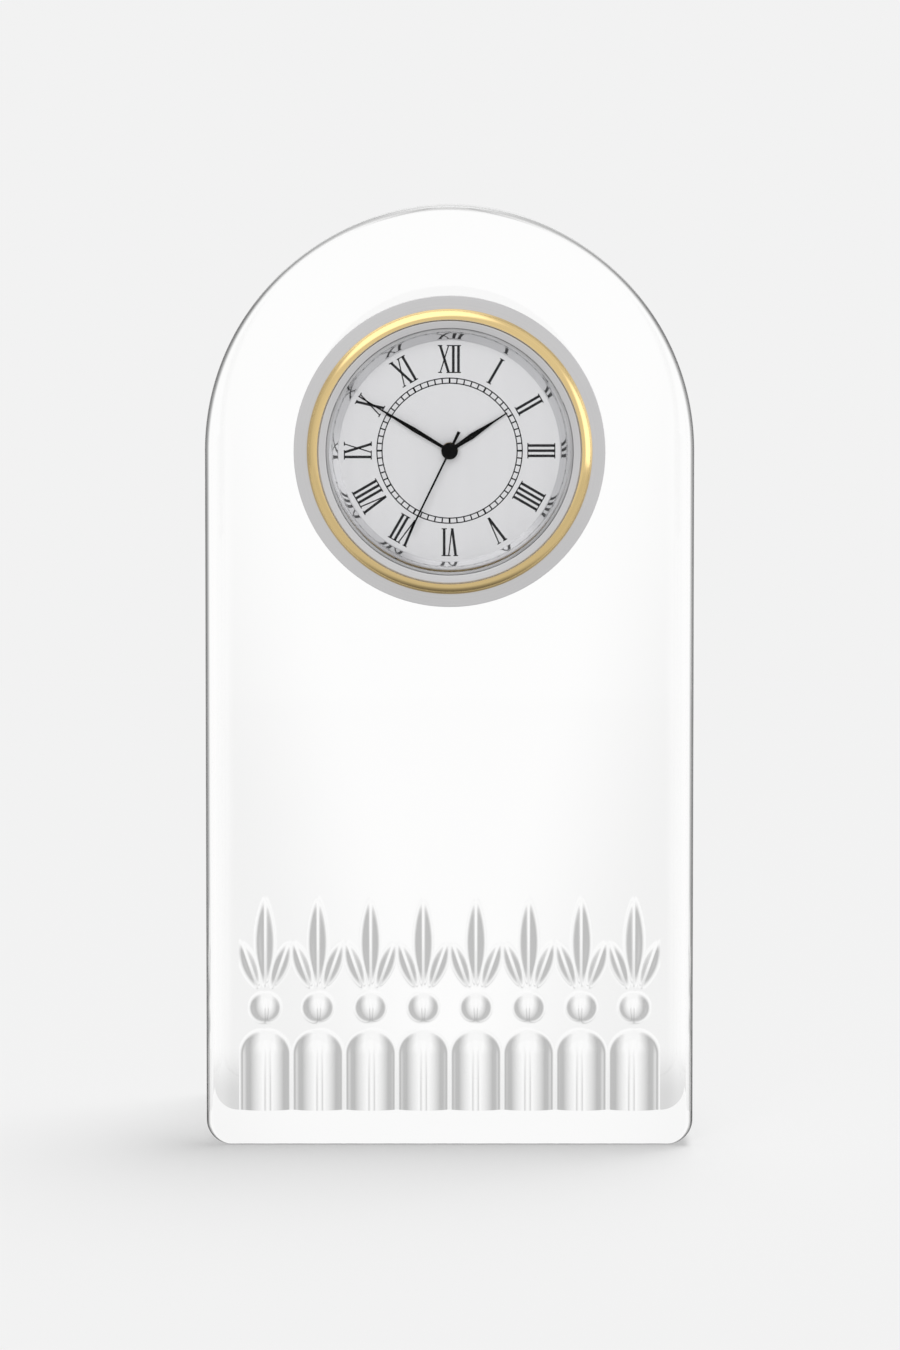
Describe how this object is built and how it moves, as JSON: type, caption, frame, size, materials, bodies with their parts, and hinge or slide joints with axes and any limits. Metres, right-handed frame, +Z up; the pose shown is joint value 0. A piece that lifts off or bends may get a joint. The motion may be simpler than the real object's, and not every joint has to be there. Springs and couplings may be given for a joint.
{
  "type": "beehive shelf clock",
  "caption": "Round-arched block of clear cut crystal that holds a battery clock insert with roman dial, gold bezel and rear setting knob.",
  "frame": {"origin": "centre of the block's base, on the surface it stands on", "axes": "+Z up, the dial faces -Y, +X to the viewer's right"},
  "size_m": [0.07, 0.0423, 0.135],
  "materials": {
    "crystal": "polished clear crystal",
    "lens_glass": "polished clear mineral glass",
    "silver": "satin silver",
    "gold": "polished gold",
    "reflector": "polished",
    "dial_white": "satin silver white",
    "hand_black": "satin black",
    "black_rubber": "matte",
    "case_metal": "satin",
    "black_plastic": "fine texture",
    "white_plastic": "moulded",
    "brass": "turned",
    "steel": "turned",
    "magnet": "sintered",
    "copper": "lacquered wire",
    "board": "solder mask",
    "cell_steel": "bright"
  },
  "bodies": {
    "crystal": {"crystal_block": "crystal"},
    "insert": {"flange_ring": "silver", "gold_bezel": "gold", "lens": "lens_glass", "lens_gasket": "black_rubber", "reflector_ring": "reflector", "dial": "dial_white", "case_tube": "case_metal", "grip_band": "black_rubber", "main_plate": "white_plastic", "centre_bush": "brass", "stator": "steel", "coil_core": "steel", "coil_winding": "copper", "train_bridge": "white_plastic", "circuit_board": "board", "chip": "black_plastic", "quartz_can": "cell_steel", "contact_negative": "steel", "contact_positive": "steel", "back_cover": "black_plastic", "bridge_screw_1": "steel", "bridge_screw_2": "steel", "bridge_screw_3": "steel", "cover_screw_1": "steel", "cover_screw_2": "steel", "cover_screw_3": "steel"},
    "minute_train": {"cannon_pinion": "brass", "centre_wheel": "brass", "minute_hand": "hand_black"},
    "hour_train": {"hour_wheel": "brass", "hour_hand": "hand_black"},
    "second_train": {"second_wheel": "brass", "second_hand": "hand_black"},
    "third_train": {"third_wheel": "brass"},
    "fifth_train": {"fifth_wheel": "brass"},
    "rotor": {"rotor_pinion": "steel", "rotor_magnet": "magnet"},
    "setting": {"minute_wheel": "brass", "setting_knob": "black_plastic"},
    "battery": {"button_cell": "cell_steel", "battery_cap": "black_plastic"}
  },
  "joints": [
    {"name": "insert_pull", "type": "slide", "parent": "crystal", "child": "insert", "axis": [0, -1, 0], "range_m": [0, 0.03]},
    {"name": "minute_turn", "type": "hinge", "parent": "insert", "child": "minute_train", "pos_m": [0, -0.02, 0.1], "axis": [0, 1, 0], "continuous": true},
    {"name": "hour_turn", "type": "hinge", "parent": "insert", "child": "hour_train", "pos_m": [0, -0.02, 0.1], "axis": [0, 1, 0], "continuous": true},
    {"name": "second_turn", "type": "hinge", "parent": "insert", "child": "second_train", "pos_m": [0, -0.02, 0.1], "axis": [0, 1, 0], "continuous": true},
    {"name": "third_turn", "type": "hinge", "parent": "insert", "child": "third_train", "pos_m": [-0.00575, -0.02, 0.10209], "axis": [0, 1, 0], "continuous": true},
    {"name": "fifth_turn", "type": "hinge", "parent": "insert", "child": "fifth_train", "pos_m": [0.00587, -0.02, 0.10213], "axis": [0, 1, 0], "continuous": true},
    {"name": "rotor_turn", "type": "hinge", "parent": "insert", "child": "rotor", "pos_m": [0.00797, -0.02, 0.10577], "axis": [0, 1, 0], "continuous": true},
    {"name": "setting_turn", "type": "hinge", "parent": "insert", "child": "setting", "pos_m": [0, -0.02, 0.0928], "axis": [0, 1, 0], "continuous": true},
    {"name": "battery_draw", "type": "slide", "parent": "insert", "child": "battery", "axis": [0, 1, 0], "range_m": [0, 0.016]}
  ],
  "couplings": [
    {"joint": "hour_turn", "follows": "minute_turn", "ratio": 0.083333},
    {"joint": "setting_turn", "follows": "minute_turn", "ratio": -0.33333},
    {"joint": "third_turn", "follows": "minute_turn", "ratio": -8},
    {"joint": "second_turn", "follows": "minute_turn", "ratio": 60},
    {"joint": "fifth_turn", "follows": "minute_turn", "ratio": -300},
    {"joint": "rotor_turn", "follows": "minute_turn", "ratio": 1800}
  ]
}
